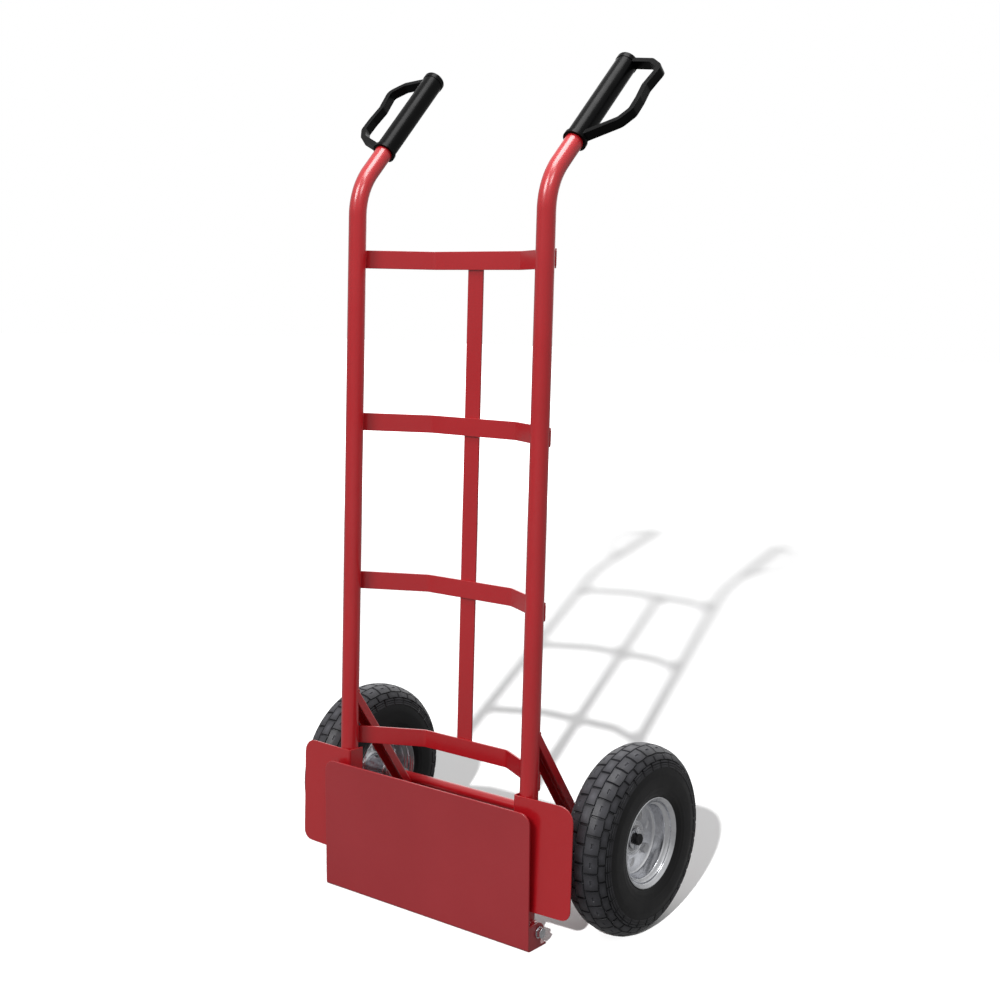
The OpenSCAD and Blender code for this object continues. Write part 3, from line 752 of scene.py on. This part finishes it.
def tyre_rings():
    """For each length around a pitch, the tyre's whole section there as (radius, width, dust and painted
    highlight).
    """
    curve = [superellipse(90 - SECTION_STEP * k, TYRE_HALF, OVER, UNDER) for k in range(SECTION_STEPS)]
    half = [point for point in curve if point[0] > WALL_END_R]
    wall = lengths_along(half)[-1] - TREAD_END
    wall_steps = round(wall / WALL_STEP)
    walls = [TREAD_END + wall * k / wall_steps for k in range(1, wall_steps + 1)]
    marks = tread_marks()
    inner_half = TYRE_HALF - THICK
    inside = BEAD + [superellipse(turn, inner_half, INNER_OVER, INNER_UNDER) for turn in INNER_TURNS]
    rings = {}
    for around in turn_marks():
        outline = outline_at(half, [swung(mark, around) for mark in marks] + walls)
        outer = [tread_point(place, around, point) for place, point in zip(marks + walls, outline)]
        one_side = outer + [(radius, width, 0.0) for radius, width in inside]
        # Both ends of one_side lie on the middle plane, so the other half has neither of them.
        other_side = [(radius, -width, dust_plus_highlight) for radius, width, dust_plus_highlight in one_side[1:-1]]
        rings[around] = one_side + other_side[::-1]
    return rings


def build_tyre(side, sections):
    """A tyre from the sections that repeat at each pitch."""
    outward, centre = SIDES[side], PIVOT[f"wheel_{side}_spin"]
    bm = bmesh.new()
    # The tread attribute holds dust on the block tops and their painted highlight, for the tyre's material.
    tread = bm.verts.layers.float.new("tread")
    rings = []
    for count in range(PITCHES):
        for around, section in sections.items():
            turn = (count * TREAD_PITCH + around) / TYRE_R
            radial = Vector((0.0, -math.sin(turn), math.cos(turn)))
            ring = []
            for radius, station, dust_plus_highlight in section:
                vert = bm.verts.new(centre + radial * radius + Vector((outward * station, 0.0, 0.0)))
                vert[tread] = dust_plus_highlight
                ring.append(vert)
            rings.append(ring)
    bridge(bm, rings, True)
    add_piece(f"tyre_{side}_treaded", bm, "tyre_rubber", f"wheel_{side}", (f"tyre_{side}",),
              smooth_angle=40.0)


# ---- Rims ----

RIM_STEPS = 168
DISC_IN = 24 * MM           # radii between which the disc is pressed
DISC_OUT = 43.5 * MM
BOSS_R = 11.5 * MM          # outside the slope round the boss
BOSS_SLOPE = 3.5 * MM
BOSS_H = 1.1 * MM
DIMPLE_R = 7.5 * MM
DIMPLE_SLOPE = 3.0 * MM
DIMPLE_DEPTH = 1.3 * MM


def rim_profile():
    """Section of one rim half as (radius, station): its face, out to the rolled lip, and then back."""
    hub = [(20.5, 0.6), (20.5, 3.0), (21.0, 3.6), (22.2, 3.9), (23.4, 3.6), (24.4, 2.7), (25.6, 2.2)]
    disc = [(27.0 + 1.25 * k, 2.0) for k in range(13)]
    shoulder = arc((45.0, 6.6), 4.6, -90, 0, 8)
    barrel = [(49.7, 10.0), (49.9, 15.0), (50.2, 19.0)] + arc((53.4, 19.2), 3.1, 170, 110, 5)
    seat = [(54.6, 23.3), (55.6, 24.6), (56.0, 26.2), (56.1, 27.2), (56.8, 28.2), (58.4, 29.4),
            (60.2, 30.6)]
    lip = arc((61.6, 30.5), 1.2, 120, -50, 8)
    back = [(61.0, 28.4), (58.0, 26.4), (56.2, 22.6), (52.0, 20.2), (51.6, 5.0), (50.0, 1.6), (46.5, 0.0),
            (21.0, 0.0)]
    profile = hub + disc + shoulder + barrel + seat + lip + back
    return [(radius * MM, station * MM) for radius, station in profile]


def build_rim(side, half):
    """One half of a rim, with a boss round each bolt and a dimple opposite each bolt."""
    node = f"rim_{half}_{side}"
    centre = PIVOT[f"wheel_{side}_spin"]
    outward = SIDES[side] if half == "outer" else -SIDES[side]
    bolts = []
    for middle in middles(f"rim_bolts_{side}"):
        bolts.append(Vector((0.0, middle.y - centre.y, middle.z - centre.z)))

    def pressed(place):
        if not DISC_IN < place.length < DISC_OUT:
            return 0.0
        to_bolt = min((place - bolt).length for bolt in bolts)
        to_dimple = min((place + bolt).length for bolt in bolts)
        boss = max(0.0, min(1.0, (BOSS_R - to_bolt) / BOSS_SLOPE))
        dimple = max(0.0, min(1.0, (DIMPLE_R - to_dimple) / DIMPLE_SLOPE))
        return BOSS_H * boss - DIMPLE_DEPTH * dimple

    bm = bmesh.new()
    lathe(bm, centre, outward, rim_profile(), RIM_STEPS, pressed)
    add_piece(f"{node}_pressed", bm, "galvanised", f"wheel_{side}", (node,), smooth_angle=50.0)


# ---- Building ----

# Radius of the broken edges of each kind of node; a kind is a node, or what comes before its last _
BROKEN_EDGES = {"crossbar": 0.5 * MM, "centre_bar": 0.5 * MM, "wing": 0.4 * MM, "brace": 0.4 * MM,
                "strut": 0.5 * MM, "toe_plate": 0.9 * MM, "grip": 1.2 * MM, "hub": 0.5 * MM,
                "hinge_bolt": 0.4 * MM, "rim_bolts": 0.4 * MM}

for kind, radius in BROKEN_EDGES.items():
    for node in SLOT_OF:
        if kind in (node, node.rpartition("_")[0]):
            finished(node, radius)
build_axle()
build_welds()
sections = tyre_rings()
for side in SIDES:
    build_upright(side)
    build_tyre(side, sections)
    build_rim(side, "outer")
    build_rim(side, "inner")


# ---- Camera, floor and light ----

# The camera looks along +Y, turned by YAW towards -X, tilted down by TILT and rolled by ROLL.
CAMERA_AT = Vector((1.30068, -1.662847, 0.82491))
YAW, TILT, ROLL = (math.radians(a) for a in (37.837, 6.804, 1.549))
LENS = 53.93
SENSOR = 36.0               # millimetres, as the lens
FLOOR_HALF = 40.0           # metres, as the rest of the stage
FLOOR_BOUNCE = srgb(120, 120, 120)
GLOW_FROM = 3.9             # distance from the middle at which the floor starts to glow
GLOW_FULL = 5.2
WHITE = (1.0, 1.0, 1.0, 1.0)


def add_camera():
    forward = Vector((-math.sin(YAW) * math.cos(TILT), math.cos(YAW) * math.cos(TILT), -math.sin(TILT)))
    right = Vector((math.cos(YAW), math.sin(YAW), 0.0))
    up = right.cross(forward)
    x = right * math.cos(ROLL) + up * math.sin(ROLL)
    y = up * math.cos(ROLL) - right * math.sin(ROLL)
    data = bpy.data.cameras.new("camera")
    data.lens = LENS
    data.sensor_width = SENSOR
    camera = bpy.data.objects.new("camera", data)
    bpy.context.scene.collection.objects.link(camera)
    turn = Matrix((x, y, -forward)).transposed().to_4x4()
    camera.matrix_world = Matrix.Translation(CAMERA_AT) @ turn
    bpy.context.scene.camera = camera


def add_floor():
    """A white floor that glows far away, and lights the object less than it looks."""
    bm = bmesh.new()
    bmesh.ops.create_grid(bm, x_segments=1, y_segments=1, size=FLOOR_HALF)
    mesh = bpy.data.meshes.new("floor")
    bm.to_mesh(mesh)
    bm.free()
    shader = Shader("floor", roughness=0.9, specular_ior_level=0.0)
    white = shader.mixed(shader.noise(3.0), srgb(240, 240, 240), srgb(243, 243, 243))
    seen = shader.nodes.new("ShaderNodeLightPath").outputs["Is Camera Ray"]
    shader.colour(shader.mixed(seen, FLOOR_BOUNCE, white))
    reach = shader.nodes.new("ShaderNodeVectorMath")
    reach.operation = "LENGTH"
    shader.links.new(shader.place, reach.inputs[0])
    glow = shader.spread(reach.outputs["Value"], 0.0, 1.0, GLOW_FROM, GLOW_FULL)
    shader.links.new(shader.maths("MULTIPLY", glow, seen), shader.bsdf.inputs["Emission Strength"])
    shader.bsdf.inputs["Emission Color"].default_value = WHITE
    mesh.materials.append(shader.material)
    floor = bpy.data.objects.new("floor", mesh)
    bpy.context.scene.collection.objects.link(floor)
    return floor


def add_light(name, kind, towards, energy, **values):
    """A light that shines towards that direction; values are its other settings."""
    data = bpy.data.lights.new(name, kind)
    data.energy = energy
    for label, value in values.items():
        setattr(data, label, value)
    light = bpy.data.objects.new(name, data)
    bpy.context.scene.collection.objects.link(light)
    light.rotation_mode = "QUATERNION"
    light.rotation_quaternion = Vector(towards).to_track_quat("-Z", "Y")
    return light


def even_with_distance(light):
    """The light is as strong far away as near."""
    light.data.use_nodes = True
    nodes = light.data.node_tree.nodes
    falloff = nodes.new("ShaderNodeLightFalloff")
    falloff.inputs["Strength"].default_value = 1.0
    light.data.node_tree.links.new(falloff.outputs["Constant"], nodes["Emission"].inputs["Strength"])


def light_only(light, objects, state):
    """The light falls on those objects alone (INCLUDE), or on everything but them (EXCLUDE)."""
    group = bpy.data.collections.new(f"{light.name}_{state.lower()}")
    for obj in objects:
        group.objects.link(obj)
    light.light_linking.receiver_collection = group
    for row in group.collection_objects:
        row.light_linking.link_state = state


def add_sky(horizon, zenith):
    """Soft white room light, brighter overhead; the camera sees plain white."""
    world = bpy.data.worlds.new("room")
    bpy.context.scene.world = world
    world.use_nodes = True
    nodes, links = world.node_tree.nodes, world.node_tree.links
    room = nodes["Background"]
    place = nodes.new("ShaderNodeTexCoord")
    split = nodes.new("ShaderNodeSeparateXYZ")
    height = nodes.new("ShaderNodeMapRange")
    for label, number in (("From Min", 0.0), ("From Max", 1.0), ("To Min", horizon), ("To Max", zenith)):
        height.inputs[label].default_value = number
    links.new(place.outputs["Generated"], split.inputs["Vector"])
    links.new(split.outputs["Z"], height.inputs["Value"])
    links.new(height.outputs["Result"], room.inputs["Strength"])
    room.inputs["Color"].default_value = WHITE
    plain = nodes.new("ShaderNodeBackground")
    plain.inputs["Color"].default_value = WHITE
    path = nodes.new("ShaderNodeLightPath")
    mix = nodes.new("ShaderNodeMixShader")
    links.new(path.outputs["Is Camera Ray"], mix.inputs["Fac"])
    links.new(room.outputs["Background"], mix.inputs[1])
    links.new(plain.outputs["Background"], mix.inputs[2])
    links.new(mix.outputs["Shader"], nodes["World Output"].inputs["Surface"])


add_camera()
floor = add_floor()
add_sky(0.36, 0.80)

# The lamp throws the shadow on the floor.
lamp = add_light("lamp", "POINT", (0.0, 0.0, -1.0), 84.0, shadow_soft_size=0.075)
lamp.location = (2.434, -5.161, 2.954)
even_with_distance(lamp)

# The key, the fill and the softbox light the object alone.
key = add_light("key", "SUN", (0.15, 0.80, -0.60), 1.5, angle=math.radians(24))
fill = add_light("fill", "SUN", (0.35, -0.80, -0.40), 0.7, angle=math.radians(60))
softbox = add_light("softbox", "AREA", (0.0, 0.15, -1.0), 27.0, shape="SQUARE", size=1.0)
softbox.location = (0.25, -0.35, 2.50)

# The card gives the handles' bends their highlight.
card = add_light("card", "AREA", (-0.584, 0.517, -0.626), 9.0, shape="RECTANGLE", size=0.8, size_y=0.35)
card.location = (1.45, -1.24, 2.38)

light_only(lamp, [floor], "INCLUDE")
for light in (key, fill, softbox):
    light_only(light, [floor], "EXCLUDE")
light_only(card, [bpy.data.objects[f"upright_{side}_bent"] for side in SIDES], "INCLUDE")
bpy.context.scene.view_settings.view_transform = "Standard"
